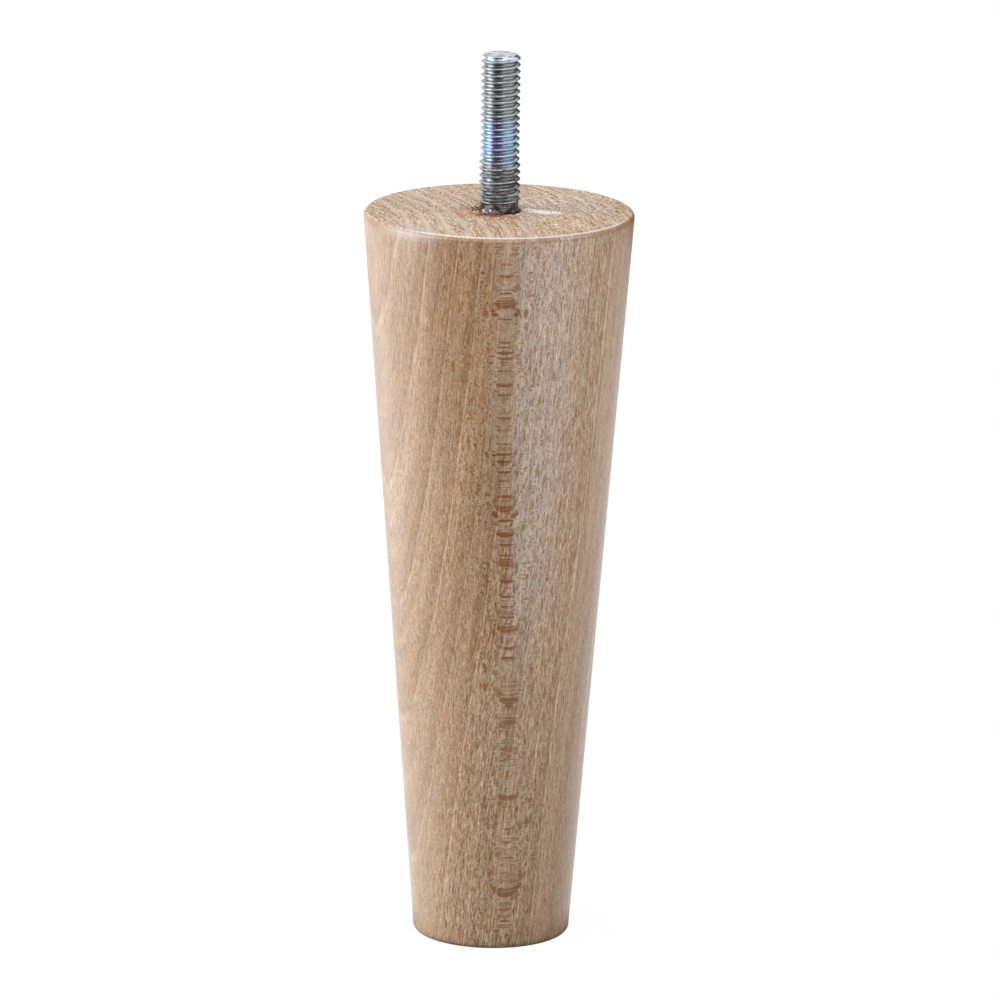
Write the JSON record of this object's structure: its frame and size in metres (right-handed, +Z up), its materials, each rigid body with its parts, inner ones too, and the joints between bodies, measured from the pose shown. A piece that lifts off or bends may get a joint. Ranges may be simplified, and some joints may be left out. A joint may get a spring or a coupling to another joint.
{
  "type": "tapered wooden furniture leg",
  "caption": "Round tapered furniture leg turned from beech, with rounded edges and a threaded steel stud standing from its top to screw it under a sofa, bed or cabinet.",
  "frame": {"origin": "centre of the foot's flat face, on the leg's axis", "axes": "+Z up along the leg's axis, from the foot to the threaded stud; X and Y are free, because the leg is round"},
  "size_m": [0.0498, 0.0498, 0.1665],
  "materials": {
    "lacquered_beech": "pale beech under a clear satin lacquer",
    "zinc_plated_steel": "bright zinc plating with a faint blue passivation tint"
  },
  "bodies": {
    "root": {"leg_body": "lacquered_beech", "hanger_bolt": "zinc_plated_steel"}
  },
  "joints": []
}
